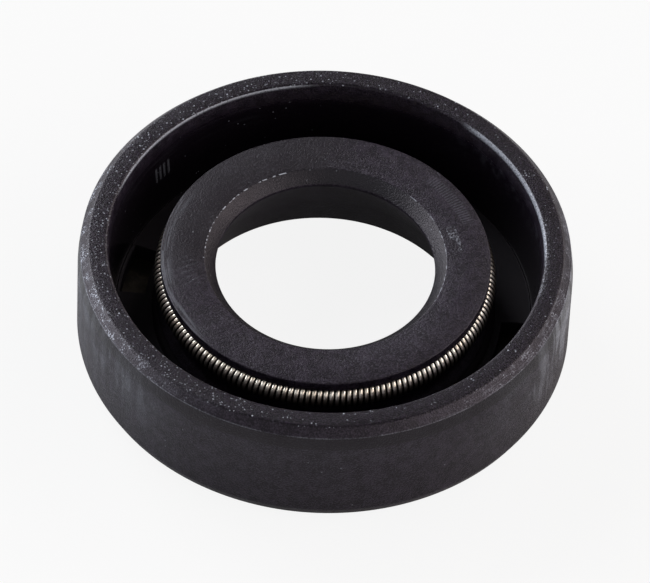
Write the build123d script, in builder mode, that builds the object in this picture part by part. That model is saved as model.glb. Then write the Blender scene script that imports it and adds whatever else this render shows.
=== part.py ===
from build123d import *
import os
from math import cos, pi, radians, sin, tan

# Radial shaft seal, lying on its back face with the spring side up. Millimetres; Z is the axis of the shaft,
# and Z 0 is the back face, which faces the air side in use.

# Outside of the rubber jacket. Its diameter is the sum of the steps out from the lip, and comes to 20.2 mm,
# the free size for a 20 mm housing bore
seal_width = 5.2
back_chamfer_height = 0.49     # lead-in that enters the housing first
back_chamfer_depth = 0.24
front_taper_height = 0.58      # slightly conical band below the parting ridge
front_taper_depth = 0.115
front_chamfer_height = 0.40    # from the parting ridge up to the rim's flat face
front_chamfer_depth = 0.30

# Cavity between the jacket and the sealing lip
floor_width = 1.48             # from the neck's foot out to the jacket
rim_wall_at_mouth = 1.21
rim_wall_at_floor = 1.57
mouth_bevel = 0.15
floor_height = 1.34

# Sealing lip and its head
lip_diameter = 8.96            # free diameter of the contact band, for a 10 mm shaft
contact_band = 0.12            # width of the contact band along the shaft
head_setback = 0.83            # the head's flat face lies this far below the rim
lip_depth = 0.47               # from the head's flat face down to the contact band
oil_side_angle = 44.0          # flank angles are from the shaft's axis
air_side_angle = 28.0
head_ledge = 0.28              # the head reaches this far beyond the middle of the spring
head_flange = 0.44             # thickness of the head above the spring groove
retaining_ledge = 0.16         # the lower edge of the groove beyond the middle of the spring
retaining_thickness = 0.2

# Flexing neck and the throat behind the lip
neck_thickness = 0.95
foot_offset = 2.57             # outside of the neck's foot, from the contact band
foot_height = 0.14
foot_draft = 0.07
throat_height = 1.57
throat_offset = 1.62           # mouth of the throat at the back face, from the contact band

# Garter spring: a close-wound coil joined into a ring, a little stretched in its groove
spring_offset = 1.98           # middle of the wire coil, from the contact band
coil_diameter = 1.06
wire_diameter = 0.22
turn_gap = 0.0055              # opened between turns by the stretch
groove_clearance = 0.02
groove_arc = 80.0              # the groove's round bottom; flanks run from it to the ledges at a tangent
coil_sides = 8

# Steel case: one drawn ring of L section inside the rubber
steel_thickness = 0.4
jacket_thickness = 0.6         # rubber outside the case's cylinder
back_cover = 0.2               # rubber behind the case's flange
front_cover = 0.5              # rubber above the case's edge
case_bore_offset = 2.27        # edge of the case's hole, from the contact band
bend_bevel = 0.35              # in place of the round of the drawn bend

# Windows in the floor, left by the mould's pins that hold the case down
window_count = 4
window_angle = 18.0
first_window_angle = -11.5
window_foot_gap = 0.28
window_wall_gap = 0.15

# Places worked out from the sizes above
lip_radius = lip_diameter / 2
foot_radius = lip_radius + foot_offset
floor_radius = foot_radius + floor_width
outer_radius = floor_radius + rim_wall_at_floor
mouth_radius = outer_radius - rim_wall_at_mouth
ridge_radius = outer_radius - front_taper_depth
ridge_height = seal_width - front_chamfer_height

head_height = seal_width - head_setback
contact_top = head_height - lip_depth
contact_foot = contact_top - contact_band
head_bore_radius = lip_radius + lip_depth * tan(radians(oil_side_angle))
throat_radius = lip_radius + (contact_foot - throat_height) * tan(radians(air_side_angle))
throat_mouth_radius = lip_radius + throat_offset

spring_radius = lip_radius + spring_offset
groove_radius = coil_diameter / 2 + groove_clearance
groove_top = head_height - head_flange
spring_height = groove_top - groove_radius
groove_foot = spring_height - groove_radius
flank_radius = spring_radius - groove_radius * tan(radians(45 - groove_arc / 4))
head_radius = spring_radius + head_ledge
ledge_radius = spring_radius + retaining_ledge
ledge_foot = groove_foot - retaining_thickness

foot_top = floor_height + foot_height
waist_height = (foot_top + ledge_foot) / 2
waist_radius = lip_radius + (contact_foot - waist_height) * tan(radians(air_side_angle)) + neck_thickness

case_outer_radius = outer_radius - jacket_thickness
case_bore_radius = lip_radius + case_bore_offset
case_inner_radius = case_outer_radius - steel_thickness
flange_top = back_cover + steel_thickness
case_edge = seal_width - front_cover

window_inner_radius = foot_radius + window_foot_gap
window_outer_radius = floor_radius - window_wall_gap

turn_pitch = wire_diameter + turn_gap
turn_count = round(2 * pi * spring_radius / turn_pitch)
turn_step = 360 / turn_count
coil_radius = coil_diameter / 2
valley_radius = coil_radius - wire_diameter / 2
turn_lean = turn_pitch / 2 / (coil_diameter - wire_diameter)


def turn_plane(angle):
    """Plane across the coil at an angle round the ring, leaning as a turn of the helix does."""
    around = radians(angle)
    outwards = Vector(cos(around), sin(around), 0)
    along = Vector(-sin(around), cos(around), turn_lean)
    return Plane(origin=outwards * spring_radius + Vector(0, 0, spring_height), x_dir=outwards, z_dir=along)


# Steel case: the flange lies behind the floor and the cylinder stiffens the jacket
with BuildPart() as steel_case:
    with BuildSketch(Plane.XZ) as case_section:
        with BuildLine():
            Polyline(
                (case_bore_radius, back_cover),
                (case_outer_radius, back_cover),
                (case_outer_radius, case_edge),
                (case_inner_radius, case_edge),
                (case_inner_radius, flange_top),
                (case_bore_radius, flange_top),
                close=True,
            )
        make_face()
        bend = case_section.vertices().sort_by_distance((case_outer_radius, back_cover))[0]
        chamfer(bend, bend_bevel)
    revolve(axis=Axis.Z)

# One window in plan, centred on the X axis
with BuildSketch() as window:
    with BuildLine():
        inner_arc = CenterArc((0, 0), window_inner_radius, -window_angle / 2, window_angle)
        outer_arc = CenterArc((0, 0), window_outer_radius, -window_angle / 2, window_angle)
        Line(inner_arc @ 0, outer_arc @ 0)
        Line(inner_arc @ 1, outer_arc @ 1)
    make_face()

# Rubber body: jacket, floor, neck, head and lip are moulded in one round the case
with BuildPart() as rubber_body:
    with BuildSketch(Plane.XZ) as body_section:
        with BuildLine():
            groove_bottom = CenterArc(
                (spring_radius, spring_height), groove_radius, 180 + groove_arc / 2, -groove_arc
            )
            Polyline(
                groove_bottom @ 1,
                (flank_radius, groove_top),
                (head_radius, groove_top),
                (head_radius, head_height),
                (head_bore_radius, head_height),
                (lip_radius, contact_top),
                (lip_radius, contact_foot),
                (throat_radius, throat_height),
                (throat_mouth_radius, 0),
                (outer_radius - back_chamfer_depth, 0),
                (outer_radius, back_chamfer_height),
                (outer_radius, ridge_height - front_taper_height),
                (ridge_radius, ridge_height),
                (ridge_radius - front_chamfer_depth, seal_width),
                (mouth_radius, seal_width),
                (floor_radius, floor_height),
                (foot_radius, floor_height),
                (foot_radius - foot_draft, foot_top),
                (waist_radius, waist_height),
                (ledge_radius, ledge_foot),
                (ledge_radius, groove_foot),
                (flank_radius, groove_foot),
                groove_bottom @ 0,
            )
        make_face()
        mouth = body_section.vertices().sort_by_distance((mouth_radius, seal_width))[0]
        chamfer(mouth, mouth_bevel)
    revolve(axis=Axis.Z)
    add(steel_case.part, mode=Mode.SUBTRACT)

    # Each window goes down to the flange, which shows as its bottom
    with BuildSketch(Plane.XY.offset(flange_top)):
        with PolarLocations(0, window_count, start_angle=first_window_angle):
            add(window.sketch)
    extrude(amount=floor_height - flange_top, mode=Mode.SUBTRACT)

# Garter spring: each turn is a barrel from one valley between turns to the next, and the turns' sides
# are sewn into one closed ring
with BuildPart() as garter_spring:
    for station, size in ((-turn_step / 2, valley_radius), (0, coil_radius), (turn_step / 2, valley_radius)):
        with BuildSketch(turn_plane(station)):
            RegularPolygon(size, coil_sides)
    turn = loft(ruled=True, mode=Mode.PRIVATE)
    sides = turn.faces().filter_by(lambda face: len(face.edges()) == 4)
    with PolarLocations(0, turn_count) as turns:
        skin = [side.moved(place) for place in turns for side in sides]
    add(Solid(Shell(skin)))

rubber_body.part.label = "rubber_body"
steel_case.part.label = "steel_case"
garter_spring.part.label = "garter_spring"

os.makedirs("parts", exist_ok=True)
export_step(rubber_body.part, "parts/rubber_body.step")
export_step(steel_case.part, "parts/steel_case.step")
export_step(garter_spring.part, "parts/garter_spring.step")
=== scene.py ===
import math

import bmesh
import bpy
from mathutils import Matrix, Vector


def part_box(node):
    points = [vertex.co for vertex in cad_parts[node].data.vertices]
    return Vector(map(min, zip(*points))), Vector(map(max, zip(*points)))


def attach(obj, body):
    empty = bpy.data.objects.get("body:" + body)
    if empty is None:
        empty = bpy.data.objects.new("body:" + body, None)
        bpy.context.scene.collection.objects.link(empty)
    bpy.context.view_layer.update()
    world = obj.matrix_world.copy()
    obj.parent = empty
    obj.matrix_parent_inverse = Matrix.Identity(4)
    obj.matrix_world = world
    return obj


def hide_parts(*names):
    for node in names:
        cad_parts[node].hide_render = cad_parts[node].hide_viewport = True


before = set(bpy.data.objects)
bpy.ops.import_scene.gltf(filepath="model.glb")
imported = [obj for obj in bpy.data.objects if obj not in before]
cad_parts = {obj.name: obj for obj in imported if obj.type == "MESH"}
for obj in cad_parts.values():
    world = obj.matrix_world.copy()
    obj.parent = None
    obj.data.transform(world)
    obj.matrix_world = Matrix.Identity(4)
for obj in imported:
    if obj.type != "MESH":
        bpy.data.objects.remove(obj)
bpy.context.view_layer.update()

# The steel case that stiffens the seal: one ring of L section, drawn from sheet and moulded into the rubber.
# It shows only at the bottom of the windows in the cavity's floor, where the mould's pins held it down, and
# there it has the brown coat that bonds the rubber to it.
MM = 0.001


class Socket:
    """An output of a shader node, or only its tree, where a chain of nodes starts.

    Sums, differences, products and quotients of sockets add the Math nodes that work them out.
    """

    def __init__(self, tree, output=None):
        self.tree = tree
        self.output = output

    def node(self, kind, settings, inputs, output=0):
        """Adds any other node: its settings are set first, then the values or links of its inputs."""
        new = self.tree.nodes.new(kind)
        for name, value in settings.items():
            setattr(new, name, value)
        for name, value in inputs.items():
            if isinstance(value, Socket):
                self.tree.links.new(value.output, new.inputs[name])
            else:
                new.inputs[name].default_value = value
        return Socket(self.tree, new.outputs[output])

    def math(self, operation, *values):
        """Any Math node on these values, in this socket's tree."""
        return self.node("ShaderNodeMath", {"operation": operation}, dict(enumerate(values)))

    def __add__(self, other):
        return self.math("ADD", self, other)

    def __sub__(self, other):
        return self.math("SUBTRACT", self, other)

    def __rsub__(self, other):
        return self.math("SUBTRACT", other, self)

    def __mul__(self, other):
        return self.math("MULTIPLY", self, other)

    def __truediv__(self, other):
        return self.math("DIVIDE", self, other)

    __radd__ = __add__
    __rmul__ = __mul__

    def axis(self, letter):
        """The X, Y or Z of this place."""
        return self.node("ShaderNodeSeparateXYZ", {}, {0: self}, output=letter)

    def hypotenuse(self, other):
        """The long side of a right triangle with these two as its short ones."""
        return self.math("SQRT", self * self + other * other)

    def ramp(self, low, high):
        """0 below low and 1 above high, with a smooth step between. It falls where high is the lower."""
        return self.node(
            "ShaderNodeMapRange",
            {"interpolation_type": "SMOOTHSTEP", "clamp": True},
            {"Value": self, "From Min": low, "From Max": high},
        )

    def band(self, low, high, blur):
        """1 between low and high, and 0 outside them, with edges as wide as blur."""
        return self.ramp(low - blur, low) * self.ramp(high + blur, high)

    def noise(self, grain, detail=2.0, roughness=0.5):
        """Cloudy noise from 0 to 1 at this place, with lumps of about this grain in metres."""
        inputs = {"Vector": self, "Scale": 1 / grain, "Detail": detail, "Roughness": roughness}
        return self.node("ShaderNodeTexNoise", {}, inputs)

    def tint(self, at_none, at_full):
        """The colour between these two that this amount gives, from 0 to 1."""
        ends = [end if isinstance(end, Socket) else (*end, 1) for end in (at_none, at_full)]
        return self.node("ShaderNodeMix", {"data_type": "RGBA"}, {0: self, 6: ends[0], 7: ends[1]}, output=2)


def start_material(name, metallic, specular):
    """A new material, its main shader, and the place on the piece as a Socket."""
    material = bpy.data.materials.new(name)
    material.use_nodes = True
    shader = material.node_tree.nodes["Principled BSDF"]
    shader.inputs["Metallic"].default_value = metallic
    shader.inputs["Specular IOR Level"].default_value = specular
    return material, shader, Socket(material.node_tree).node("ShaderNodeTexCoord", {}, {}, output="Object")


def plug(node, **channels):
    """Links the inputs of a node to these sockets. A name's underscore stands for a space."""
    for name, value in channels.items():
        value.tree.links.new(value.output, node.inputs[name.replace("_", " ")])


def bump(height, depth):
    """The normals of a surface that rises by this depth in metres where the height goes from 0 to 1."""
    return height.node("ShaderNodeBump", {}, {"Height": height, "Distance": depth, "Strength": 1.0})


case_brown, shader, place = start_material("bonding_coat_on_steel", metallic=0.7, specular=0.5)
coat_dark = (0.016, 0.013, 0.010)
coat_light = (0.042, 0.034, 0.025)
clouds = place.noise(0.5 * MM, detail=4)
plug(
    shader,
    Base_Color=clouds.ramp(0.3, 0.7).tint(coat_dark, coat_light),
    Roughness=0.36 + 0.2 * clouds,
    Normal=bump(place.noise(0.08 * MM), 0.01 * MM),
)
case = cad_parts["steel_case"]
case.data.materials.clear()
case.data.materials.append(case_brown)

# The moulded rubber body: the jacket that seals in the housing, the floor of the cavity, and the lip on its
# flexing neck, with a groove in its head for the spring. It is nitrile rubber, moulded in one shot round the
# case, and the mould's parting line leaves a thin ridge of flash round the rim.
TURN = 2 * math.pi

_, body_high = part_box("rubber_body")
outer_radius = body_high[0]
seal_width = body_high[2]

# Jacket, and the cavity inside it
back_chamfer_height = 0.49 * MM
back_chamfer_depth = 0.24 * MM
front_taper_height = 0.58 * MM
front_taper_depth = 0.115 * MM
front_chamfer_height = 0.40 * MM
front_chamfer_depth = 0.30 * MM
flash_width = 0.05 * MM
flash_height = 0.025 * MM
rim_wall_at_mouth = 1.21 * MM
rim_wall_at_floor = 1.57 * MM
floor_height = 1.34 * MM

# Sealing lip, its head with the spring's groove, and the neck. Offsets are from the lip's contact band
lip_radius = 4.48 * MM
contact_band = 0.12 * MM
head_setback = 0.83 * MM
lip_depth = 0.47 * MM
oil_side_slope = math.tan(math.radians(44))
air_side_slope = math.tan(math.radians(28))
throat_height = 1.57 * MM
throat_offset = 1.62 * MM
spring_offset = 1.98 * MM
groove_radius = 0.55 * MM
head_flange = 0.44 * MM
head_ledge = 0.28 * MM
retaining_ledge = 0.16 * MM
retaining_thickness = 0.2 * MM
neck_thickness = 0.95 * MM
foot_offset = 2.57 * MM
foot_height = 0.14 * MM
foot_draft = 0.07 * MM

# Windows in the floor. The rubber's face at their bottom is a hair below the top of the case's flange, so that
# the flange shows there
window_count = 4
window_angle = math.radians(18)
window_end = math.radians(-2.5)  # the bearing where the first one ends
window_foot_gap = 0.28 * MM
window_wall_gap = 0.15 * MM
window_bottom = 0.58 * MM
window_bevel = 0.03 * MM

# Places worked out from the sizes above
ridge_height = seal_width - front_chamfer_height
ridge_radius = outer_radius - front_taper_depth
straight_top = ridge_height - front_taper_height
rim_outer_radius = ridge_radius - front_chamfer_depth
mouth_radius = outer_radius - rim_wall_at_mouth
floor_radius = outer_radius - rim_wall_at_floor

head_height = seal_width - head_setback
contact_top = head_height - lip_depth
contact_foot = contact_top - contact_band
head_bore_radius = lip_radius + lip_depth * oil_side_slope
throat_radius = lip_radius + (contact_foot - throat_height) * air_side_slope
throat_mouth_radius = lip_radius + throat_offset

spring_radius = lip_radius + spring_offset
groove_top = head_height - head_flange
spring_height = groove_top - groove_radius
groove_foot = spring_height - groove_radius
head_radius = spring_radius + head_ledge
ledge_radius = spring_radius + retaining_ledge
ledge_foot = groove_foot - retaining_thickness

foot_radius = lip_radius + foot_offset
foot_top = floor_height + foot_height
waist_height = (foot_top + ledge_foot) / 2
waist_radius = lip_radius + (contact_foot - waist_height) * air_side_slope + neck_thickness
window_inner_radius = foot_radius + window_foot_gap
window_outer_radius = floor_radius - window_wall_gap

steps_round = 360
steps_in_groove = 16
merge_distance = 0.001 * MM


def start_outline(name, radius, height):
    """Adds an object that is one selected vertex in the XZ plane, and goes into edit mode on it."""
    bpy.ops.object.select_all(action="DESELECT")
    bpy.ops.mesh.primitive_plane_add(size=1)
    piece = bpy.context.object
    piece.name = name
    piece.data.name = name
    bpy.ops.object.mode_set(mode="EDIT")
    bpy.ops.mesh.merge(type="CENTER")
    bpy.ops.transform.translate(value=(radius, 0, height))
    return piece


def run_outline(*corners):
    """Extrudes the selected vertex from corner to corner of an outline in the XZ plane."""
    for radius, height in corners:
        mesh = bmesh.from_edit_mesh(bpy.context.object.data)
        here = next(vertex.co for vertex in mesh.verts if vertex.select)
        step = (radius - here.x, 0, height - here.z)
        bpy.ops.mesh.extrude_region_move(TRANSFORM_OT_translate={"value": step})


def pick(kind, chosen):
    """Selects the edges or faces for which chosen(radius, height, angle) is true at every corner."""
    piece = bpy.context.object
    bpy.ops.mesh.select_mode(type=kind)
    bpy.ops.mesh.select_all(action="DESELECT")
    mesh = bmesh.from_edit_mesh(piece.data)
    for part in {"EDGE": mesh.edges, "FACE": mesh.faces}[kind]:
        corners = [vertex.co for vertex in part.verts]
        part.select = all(chosen(co.xy.length, co.z, math.atan2(co.y, co.x)) for co in corners)
    mesh.select_flush_mode()
    bmesh.update_edit_mesh(piece.data)


def near(value, target):
    """True for two lengths that are the same but for rounding."""
    return abs(value - target) < 0.002 * MM


rubber = start_outline("moulded_rubber_body", head_bore_radius, head_height)
run_outline(
    (lip_radius, contact_top),
    (lip_radius, contact_foot),
    (throat_radius, throat_height),
    (throat_mouth_radius, 0),
    (outer_radius - back_chamfer_depth, 0),
    (outer_radius, back_chamfer_height),
    (outer_radius, straight_top),
    (ridge_radius, ridge_height - flash_width / 2),
    (ridge_radius + flash_height, ridge_height),
    (ridge_radius, ridge_height + flash_width / 2),
    (rim_outer_radius, seal_width),
    (mouth_radius, seal_width),
    (floor_radius, floor_height),
    (window_outer_radius, floor_height),
    (window_inner_radius, floor_height),
    (foot_radius, floor_height),
    (foot_radius - foot_draft, foot_top),
    (waist_radius, waist_height),
    (ledge_radius, ledge_foot),
    (ledge_radius, groove_foot),
    (spring_radius, groove_foot),
)
groove_middle = (spring_radius, 0, spring_height)
bpy.ops.mesh.spin(steps=steps_in_groove, angle=-math.pi, center=groove_middle, axis=(0, 1, 0))
run_outline((head_radius, groove_top), (head_radius, head_height), (head_bore_radius, head_height))
bpy.ops.mesh.select_all(action="SELECT")
bpy.ops.mesh.remove_doubles(threshold=merge_distance)

# The outline starts at a window's edge, so that the windows' sides fall on the steps of the spin
bpy.ops.transform.rotate(value=-window_end, orient_axis="Z", center_override=(0, 0, 0))
bpy.ops.mesh.spin(steps=steps_round, angle=TURN, center=(0, 0, 0), axis=(0, 0, 1))
bpy.ops.mesh.select_all(action="SELECT")
bpy.ops.mesh.remove_doubles(threshold=merge_distance)
bpy.ops.mesh.normals_make_consistent(inside=False)


def on_window(radius, height, angle):
    """True for a place on the cavity's floor where a window is cut."""
    slack = 0.001
    behind = (window_end - angle + slack) % (TURN / window_count)
    across = window_inner_radius - slack * MM < radius < window_outer_radius + slack * MM
    return near(height, floor_height) and across and behind < window_angle + 2 * slack


pick("FACE", on_window)
window_depth = floor_height - window_bottom
bpy.ops.mesh.extrude_region_move(TRANSFORM_OT_translate={"value": (0, 0, -window_depth)})
pick("EDGE", on_window)
bpy.ops.mesh.bevel(offset=window_bevel, segments=2, affect="EDGES")

# The corners that the mould leaves a little round, each with its bevel in mm and its segments
for corner_radius, corner_height, bevel, segments in (
    (mouth_radius, seal_width, 0.12, 5),
    (rim_outer_radius, seal_width, 0.06, 3),
    (outer_radius, straight_top, 0.25, 3),
    (ridge_radius + flash_height, ridge_height, 0.008, 2),
    (outer_radius, back_chamfer_height, 0.08, 3),
    (outer_radius - back_chamfer_depth, 0, 0.05, 3),
    (throat_mouth_radius, 0, 0.05, 3),
    (floor_radius, floor_height, 0.02, 1),
    (foot_radius - foot_draft, foot_top, 0.05, 2),
    (waist_radius, waist_height, 0.25, 4),
    (ledge_radius, ledge_foot, 0.05, 2),
    (ledge_radius, groove_foot, 0.03, 2),
    (head_radius, groove_top, 0.03, 2),
    (head_radius, head_height, 0.05, 3),
    (head_bore_radius, head_height, 0.03, 2),
    (lip_radius, contact_top, 0.02, 2),
    (lip_radius, contact_foot, 0.02, 2),
):
    pick("EDGE", lambda radius, height, angle: near(radius, corner_radius) and near(height, corner_height))
    bpy.ops.mesh.bevel(offset=bevel * MM, segments=segments, affect="EDGES")
bpy.ops.object.mode_set(mode="OBJECT")
bpy.ops.object.shade_smooth_by_angle(angle=math.radians(35))

moulded, shader, place = start_material("moulded_nitrile_rubber", metallic=0.0, specular=0.35)
shader.inputs["Specular Tint"].default_value = (0.98, 0.90, 1.0, 1)
east, north, height = (place.axis(letter) for letter in "XYZ")
radius = east.hypotenuse(north)
bearing = place.math("ARCTAN2", north, east)

# Noise read at the first of these places is drawn out round the seal, and at the second up its side
radian_length = 0.3 * MM
squeeze_up = 0.15
round_place = place.node("ShaderNodeCombineXYZ", {}, {"X": radian_length * bearing, "Y": radius, "Z": height})
tall_place = place.node("ShaderNodeCombineXYZ", {}, {"X": east, "Y": north, "Z": squeeze_up * height})


def arc(start, end, blur):
    """1 between two bearings in degrees round the seal, fading to 0 over blur degrees. 0 is on the right."""
    middle = math.radians(start + end) / 2
    half = math.radians(end - start) / 2
    facing = (east * math.cos(middle) + north * math.sin(middle)) / radius
    return facing.ramp(math.cos(half + math.radians(blur)), math.cos(half))


def specks(spacing, size, share):
    """Round specks of about this size. They lie in clusters, which cover about this share of the surface."""
    inputs = {"Vector": place, "Scale": 1 / spacing}
    distance = place.node("ShaderNodeTexVoronoi", {}, inputs, output="Distance")
    cluster_edge = 0.66 - 0.3 * share
    clusters = place.noise(2.3 * spacing).ramp(cluster_edge, cluster_edge + 0.06)
    return distance.ramp(0.6 * size / spacing, 0.4 * size / spacing) * clusters


clouds = place.noise(2.2 * MM, detail=4, roughness=0.6)
smears = place.noise(0.5 * MM, detail=4, roughness=0.6)
grain = place.noise(0.07 * MM, detail=2, roughness=0.6)
rings = round_place.noise(0.07 * MM, detail=2)
streaks = tall_place.noise(0.4 * MM, detail=3)

# Where each face of the rubber is
on_rim = height.ramp(seal_width - 0.08 * MM, seal_width - 0.03 * MM)
on_jacket = radius.ramp(rim_outer_radius - 0.05 * MM, rim_outer_radius + 0.05 * MM)
on_chamfer = on_jacket * height.ramp(ridge_height, ridge_height + 0.05 * MM)
on_ridge = on_jacket * height.band(ridge_height - 0.02 * MM, ridge_height + 0.02 * MM, 0.02 * MM)
on_taper = on_jacket * height.band(straight_top, ridge_height - 0.03 * MM, 0.05 * MM)
on_mouth = radius.band(mouth_radius - 0.01 * MM, mouth_radius + 0.07 * MM, 0.03 * MM) * height.ramp(
    seal_width - 0.25 * MM, seal_width - 0.12 * MM
)
in_cavity = radius.band(head_radius + 0.08 * MM, mouth_radius - 0.05 * MM, 0.05 * MM) * height.ramp(
    seal_width - 0.2 * MM, seal_width - 1.2 * MM
)
on_wall = in_cavity * radius.ramp(floor_radius - 0.1 * MM, floor_radius)
on_head = radius.ramp(head_radius + 0.1 * MM, head_radius + 0.05 * MM) * height.ramp(
    head_height - 0.03 * MM, head_height - 0.01 * MM
)
on_cone = radius.ramp(head_bore_radius + 0.02 * MM, head_bore_radius - 0.02 * MM) * height.ramp(
    contact_top, contact_top + 0.05 * MM
)

# Dust and fine flash on the rim, most of it on the left, where the seal was handled, and a painted highlight
# along the mouth's edge on the right
handled = arc(100, 250, 30)
rim_specks = specks(0.15 * MM, 0.08 * MM, 0.36 + 0.50 * handled) * (0.05 + 0.6 * grain.ramp(0.45, 0.65))
rim_flecks = specks(0.30 * MM, 0.075 * MM, 0.4) * (0.2 + 0.7 * grain.ramp(0.4, 0.6))
rim_film = 0.03 * handled * smears.ramp(0.5, 0.7) * grain.ramp(0.4, 0.6)
# Painted highlight: lighter towards the mouth's edge on the right
rim_edge_highlight = 0.4 * radius.ramp(mouth_radius + 0.3 * MM, mouth_radius) * arc(-12, 10, 4) * grain.ramp(0.5, 0.6)
dust_and_painted_light = on_rim * (rim_specks + rim_flecks + rim_film + rim_edge_highlight)

# On the chamfer outside the rim: specks, worn rings and flakes, all on the left and the right; the flakes are
# also painted highlights
chamfer_specks = specks(0.14 * MM, 0.06 * MM, 0.5) * (0.25 * arc(150, 230, 20) + 0.35 * arc(-45, 10, 15))
worn = rings.ramp(0.45, 0.7) * smears.ramp(0.35, 0.6)
worn_rings = 0.16 * worn * (arc(-50, 15, 15) + 0.4 * arc(150, 230, 20))
# Flakes that are partly painted glints on the lit sides
right_flakes_and_glints = 0.25 * smears.ramp(0.5, 0.6) * grain.ramp(0.5, 0.6) * arc(-40, 5, 15)
left_flakes_and_glints = 0.80 * smears.ramp(0.5, 0.58) * grain.ramp(0.52, 0.6) * arc(155, 215, 15)
dust_and_painted_light = dust_and_painted_light + on_chamfer * (chamfer_specks + worn_rings + right_flakes_and_glints + left_flakes_and_glints)

# Painted highlights at the mouth: a broad one behind on the right, and a thin one behind on the left
mouth_edge = radius.band(mouth_radius, mouth_radius + 0.02 * MM, 0.02 * MM)
broad_mouth_highlight = 0.60 * arc(4, 46, 8) * grain.ramp(0.2, 0.6)
thin_mouth_highlight = 0.7 * mouth_edge * arc(105, 155, 12) * grain.ramp(0.2, 0.5)
dust_and_painted_light = dust_and_painted_light + on_mouth * (broad_mouth_highlight + thin_mouth_highlight)

# A painted highlight along the parting line's flash, single specks, and a mottled film on the jacket that is
# also painted sheen and shade: lighter towards the top and on the sides, darker at the front
# Painted highlight on the parting line
ridge_highlight = 0.25 * clouds.ramp(0.3, 0.7) * grain.ramp(0.2, 0.7)
jacket_specks = 0.25 * specks(0.4 * MM, 0.07 * MM, 0.3)
jacket_grain = 0.016 * grain.ramp(0.52, 0.66)
dust_and_painted_light = dust_and_painted_light + on_ridge * ridge_highlight + on_jacket * (jacket_specks + jacket_grain)
# Painted sheen and shade: the film grows towards the top, is thinner at the front and heavier in streaks on
# the sides
film_and_sheen = height.ramp(0, 4.4 * MM) * (0.3 + clouds.ramp(0.35, 0.7)) * (smears + grain)
lit_sides = 0.35 * arc(-22, 10, 14) + 0.10 * arc(170, 218, 14)
film_and_sheen_share = 0.055 - 0.038 * arc(-110, -70, 30) + lit_sides * streaks.ramp(0.42, 0.62)
dust_and_painted_light = dust_and_painted_light + film_and_sheen_share * (on_jacket - on_chamfer - 0.4 * on_taper) * film_and_sheen

# Marks on the cavity's wall: faint scuffed rings below its mouth on the left and a painted sheen below it on
# the right, both lighter towards the mouth; specks, and four bars left by a tool
scuffs_and_sheen = arc(110, 170, 15) * rings.ramp(0.5, 0.75) + arc(12, 50, 8) * smears.ramp(0.45, 0.7)
wall_scuffs_and_sheen = 0.02 * scuffs_and_sheen * height.ramp(3.2 * MM, 4.4 * MM)
wall_specks = 0.14 * specks(0.3 * MM, 0.07 * MM, 0.6) * arc(100, 180, 10)
bar_bearings = (140.0, 141.7, 143.3, 145.0)
half_bar = 0.2
bars = sum(arc(bar - half_bar, bar + half_bar, 0.35) for bar in bar_bearings)
tool_bars = 0.10 * bars * height.band(3.05 * MM, 3.6 * MM, 0.2 * MM) * grain.ramp(0.2, 0.55)
dust_and_painted_light = dust_and_painted_light + on_wall * (wall_scuffs_and_sheen + wall_specks + tool_bars)

# Marks on the head: torn flash along its bore, a smudge and short ripples on the right, rings at its edge and
# wiped strokes on the left, and specks and a thin film all over
bore_edge = radius.band(head_bore_radius - 0.03 * MM, head_bore_radius + 0.01 * MM, 0.015 * MM)
torn = 0.9 * arc(112, 178, 3) + 0.35 * arc(-22, 45, 5)
torn_flash = bore_edge * torn * place.noise(0.16 * MM).ramp(0.48, 0.56)
smudge_place = arc(10, 20, 3) * radius.band(5.25 * MM, 5.55 * MM, 0.08 * MM)
smudge = 0.5 * smudge_place * smears.ramp(0.40, 0.52) * grain.ramp(0.4, 0.65)
ripples_in_turn = 300
ripple_waves = place.math("SINE", ripples_in_turn * bearing).ramp(-0.4, 1.0)
ripples = 0.065 * ripple_waves * arc(24, 46, 4) * radius.band(6.0 * MM, 6.4 * MM, 0.08 * MM)
edge_rings = 0.15 * rings.ramp(0.40, 0.66) * arc(160, 215, 14) * radius.ramp(6.15 * MM, 6.6 * MM)
stroke_lean = 14
stroke_closeness = 9
stroke_waves = stroke_closeness * (stroke_lean * bearing - radius / MM + 0.8 * smears)
strokes = place.math("SINE", stroke_waves).ramp(0.0, 1.0) * smears.ramp(0.4, 0.6)
wiped = 0.05 * strokes * arc(183, 197, 4) * radius.band(5.4 * MM, 5.9 * MM, 0.2 * MM)
head_specks = 0.6 * specks(0.5 * MM, 0.07 * MM, 0.3)
head_film = 0.05 * clouds.ramp(0.4, 0.7) * grain.ramp(0.54, 0.66)
dust_and_painted_light = dust_and_painted_light + on_head * (torn_flash + smudge + ripples + edge_rings + wiped + head_specks + head_film)

# The cone down to the lip has a faint painted sheen behind and on the right, and a few specks
cone_sheen = 0.02 * arc(60, 120, 20) + 0.03 * grain.ramp(0.4, 0.8) * arc(-15, 40, 10)
dust_and_painted_light = dust_and_painted_light + on_cone * (cone_sheen + 0.25 * specks(0.25 * MM, 0.06 * MM, 0.4))

# The rubber below the dust is near black and mottled where it is dull. Painted shade makes it even and darker
# in the cavity, on the cone, on the band below the parting line and on the head behind on the left
skin_dark, skin_light = (0.0015, 0.0005, 0.0030), (0.0190, 0.0145, 0.0240)
rim_dark, rim_light = (0.0008, 0.0003, 0.0012), (0.018, 0.013, 0.023)
shade_black = (0.0030, 0.0020, 0.0036)
# Dust, and the painted highlights and sheen, all take this grey
dust_and_highlight_grey = (0.45, 0.48, 0.55)
skin = (0.4 * smears + 0.6 * grain).ramp(0.42, 0.60).tint(skin_dark, skin_light)
rim_skin = grain.ramp(0.42, 0.70).tint(rim_dark, rim_light)
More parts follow.
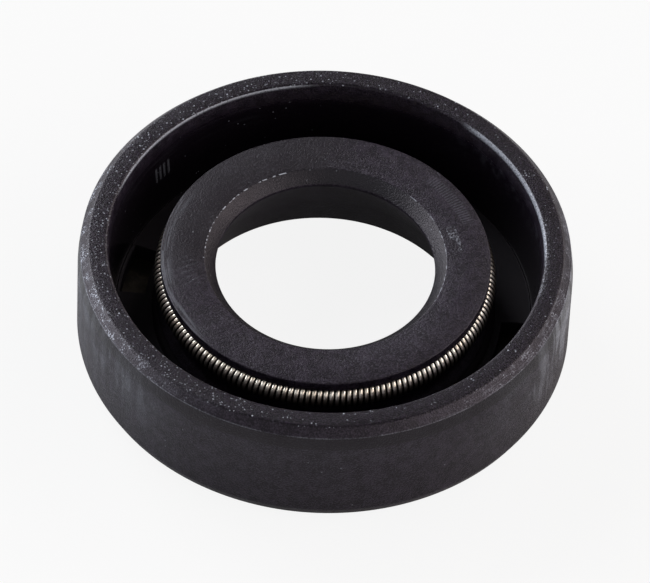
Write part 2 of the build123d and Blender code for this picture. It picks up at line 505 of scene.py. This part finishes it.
# Painted shade: where this mask is 1 the rubber is darker and even
painted_shade = in_cavity + on_cone + on_taper + 0.8 * on_head * arc(100, 175, 30)
rubber_with_painted_shade = on_rim.tint(painted_shade.tint(skin, shade_black), rim_skin)
plug(
    shader,
    Base_Color=dust_and_painted_light.tint(rubber_with_painted_shade, dust_and_highlight_grey),
    Roughness=0.33 + 0.16 * clouds - 0.06 * on_rim - 0.12 * on_taper + 0.25 * in_cavity - 0.45 * on_wall,
    Normal=bump((grain + 0.4 * smears) * (1 - in_cavity), 0.026 * MM),
)
rubber.data.materials.append(moulded)
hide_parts("rubber_body")
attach(rubber, "root")

# The garter spring that loads the lip: close-wound steel wire whose ends are joined into a ring. It sits
# in the head's groove, stretched a little, so that a hair of dark shows between the turns.
spring_low, spring_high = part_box("garter_spring")
coil_radius = 0.53 * MM
wire_radius = 0.11 * MM
turn_gap = 0.0055 * MM
turn_pitch = 2 * wire_radius + turn_gap
ring_radius = spring_high[0] - coil_radius
ring_height = (spring_low[2] + spring_high[2]) / 2
turn_count = round(TURN * ring_radius / turn_pitch)
steps_in_turn = 24
wire_sides = 10

# The wire's section starts on the outside of the coil, tipped by the lead of the winding
bpy.ops.object.select_all(action="DESELECT")
start = (ring_radius + coil_radius - wire_radius, 0, ring_height)
bpy.ops.mesh.primitive_circle_add(vertices=wire_sides, radius=wire_radius, location=start)
spring = bpy.context.object
spring.name = "garter_spring_wire"
spring.data.name = "garter_spring_wire"
bpy.ops.object.mode_set(mode="EDIT")
lead = math.atan(turn_pitch / (TURN * (coil_radius - wire_radius)))
bpy.ops.transform.rotate(value=lead, orient_axis="X", center_override=start)

coil_middle = (ring_radius, 0, ring_height)
step_in_coil = TURN / steps_in_turn
step_round_ring = TURN / turn_count / steps_in_turn
for step in range(steps_in_turn):
    # Each section is taken back to where the coil runs along Y, turned about the coil's middle, and put on
    bpy.ops.mesh.extrude_region_move()
    bpy.ops.transform.rotate(value=step * step_round_ring, orient_axis="Z", center_override=(0, 0, 0))
    bpy.ops.transform.rotate(value=step_in_coil, orient_axis="Y", center_override=coil_middle)
    bpy.ops.transform.rotate(value=-(step + 1) * step_round_ring, orient_axis="Z", center_override=(0, 0, 0))

# One turn is wound, and copies of it go all the way round
copies = turn_count - 1
last_copy = TURN * copies / turn_count
bpy.ops.mesh.select_all(action="SELECT")
bpy.ops.mesh.spin(steps=copies, angle=last_copy, dupli=True, center=(0, 0, 0), axis=(0, 0, 1))
bpy.ops.mesh.select_all(action="SELECT")
bpy.ops.mesh.remove_doubles(threshold=0.0005 * MM)
bpy.ops.mesh.normals_make_consistent(inside=False)
bpy.ops.object.mode_set(mode="OBJECT")
bpy.ops.object.transform_apply(location=True, rotation=True, scale=True)
bpy.ops.object.shade_smooth()

bright_wire, shader, place = start_material("drawn_spring_wire", metallic=1.0, specular=0.5)
east, north, height = (place.axis(letter) for letter in "XYZ")
outward = east.hypotenuse(north) - ring_radius
above = height - ring_height
clouds = place.noise(0.6 * MM, detail=3)

# Painted shade darkens the valleys between the turns and the lower part of the coil
shade_brown = (0.020, 0.011, 0.008)
wire_dark, wire_light = (0.90, 0.80, 0.67), (1.0, 0.95, 0.86)
on_crown = outward.hypotenuse(above).ramp(coil_radius - 0.060 * MM, coil_radius - 0.015 * MM)
# Painted shade: only the crowns and the upper part of the coil keep the wire's colour
unshaded = on_crown * above.ramp(-0.24 * MM, 0.26 * MM)
wire = clouds.ramp(0.3, 0.7).tint(wire_dark, wire_light)
plug(shader, Base_Color=unshaded.tint(shade_brown, wire), Roughness=0.26 + 0.12 * clouds)
spring.data.materials.append(bright_wire)
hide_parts("garter_spring")
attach(spring, "root")

# The white sheet that the seal lies on, and the white room round it. Both glow, so that the photo's ground is
# even and almost white, but the rubber mirrors only a little of the glow.
sheet_size = 1.2
sheet_gap = 0.01 * MM  # keeps the sheet clear of the back face
sheet_grey = (0.62, 0.62, 0.62, 1)
sheet_glow = 0.88
room_light = 0.03  # what the room still gives to all other rays
mirrored_share = 0.05
white = (1, 1, 1, 1)


def seen(start):
    """How much of the glow a ray sees, for the tree of this socket: all of it, but little of it mirrored."""
    straight, through, mirrored = (
        start.node("ShaderNodeLightPath", {}, {}, output=ray)
        for ray in ("Is Camera Ray", "Is Transmission Ray", "Is Glossy Ray")
    )
    return straight + through + mirrored_share * mirrored


bpy.ops.object.select_all(action="DESELECT")
bpy.ops.mesh.primitive_plane_add(size=sheet_size, location=(0, 0, -sheet_gap))
bpy.ops.object.transform_apply(location=True)
sheet = bpy.context.object
sheet.name = "white_sheet"
paper, shader, place = start_material("white_sheet", metallic=0.0, specular=0.2)
shader.inputs["Base Color"].default_value = sheet_grey
shader.inputs["Roughness"].default_value = 0.7
lit_paper = Socket(paper.node_tree, shader.outputs["BSDF"])
glow = place.node("ShaderNodeEmission", {}, {"Color": white, "Strength": 1.0})
glowing_paper = place.node("ShaderNodeMixShader", {}, {0: sheet_glow * seen(place), 1: lit_paper, 2: glow})
plug(paper.node_tree.nodes["Material Output"], Surface=glowing_paper)
sheet.data.materials.append(paper)

world = bpy.data.worlds.new("white_room")
bpy.context.scene.world = world
world.use_nodes = True
background = world.node_tree.nodes["Background"]
background.inputs["Color"].default_value = white
plug(background, Strength=(1 - room_light) * seen(Socket(world.node_tree)) + room_light)

# Soft boxes light the seal: two on the left, three weaker ones on the right, and a wide dim one in front.
# All stand at the same distance from it, and give the rubber its bright edges and grey faces.
lamp_distance = 0.5
cool, plain, warm = (0.94, 0.97, 1.0), (1.0, 1.0, 1.0), (1.0, 0.93, 0.90)


def soft_box(name, azimuth, height_angle, width, height, watts, colour):
    """An area lamp that faces the seal. Azimuth 0 is the camera's side and 90 is the right."""
    turn, rise = math.radians(azimuth), math.radians(height_angle)
    out = Vector((math.sin(turn) * math.cos(rise), -math.cos(turn) * math.cos(rise), math.sin(rise)))
    facing = out.to_track_quat("Z", "Y").to_euler()
    bpy.ops.object.light_add(type="AREA", location=out * lamp_distance, rotation=facing)
    lamp = bpy.context.object
    lamp.name = name
    lamp.data.shape = "RECTANGLE"
    lamp.data.size = width
    lamp.data.size_y = height
    lamp.data.energy = watts
    lamp.data.color = colour


soft_box("left_box_behind", -140, 28, 0.3, 0.3, 2.1, cool)
soft_box("left_box_low", -100, 14, 0.3, 0.3, 2.1, cool)
soft_box("right_box_behind", 140, 28, 0.3, 0.3, 0.8, warm)
soft_box("right_box", 95, 28, 0.3, 0.3, 1.2, warm)
soft_box("right_box_in_front", 55, 22, 0.3, 0.3, 0.8, warm)
soft_box("front_box", -10, 36, 0.7, 0.45, 0.5, plain)

# The camera looks down at the seal from the front through a long lens, rolled a little, and is aimed just
# beside the seal's middle, as in the photo.
elevation = math.radians(48.69)
roll = math.radians(-2.76)
distance = 30 * outer_radius
aim_right = 0.034 * MM
aim_up = 1.535 * MM
back = Vector((0, -math.cos(elevation), math.sin(elevation)))
right = Vector((1, 0, 0))
up = back.cross(right)
camera_data = bpy.data.cameras.new("camera")
camera_data.sensor_width = 36
camera_data.lens = 407.5
camera = bpy.data.objects.new("camera", camera_data)
bpy.context.collection.objects.link(camera)
image_right = right * math.cos(roll) - up * math.sin(roll)
image_up = right * math.sin(roll) + up * math.cos(roll)
turned = Matrix((image_right, image_up, back)).transposed().to_4x4()
camera.matrix_world = Matrix.Translation(aim_right * right + aim_up * up + distance * back) @ turned
bpy.context.scene.camera = camera
bpy.context.scene.view_settings.view_transform = "Standard"
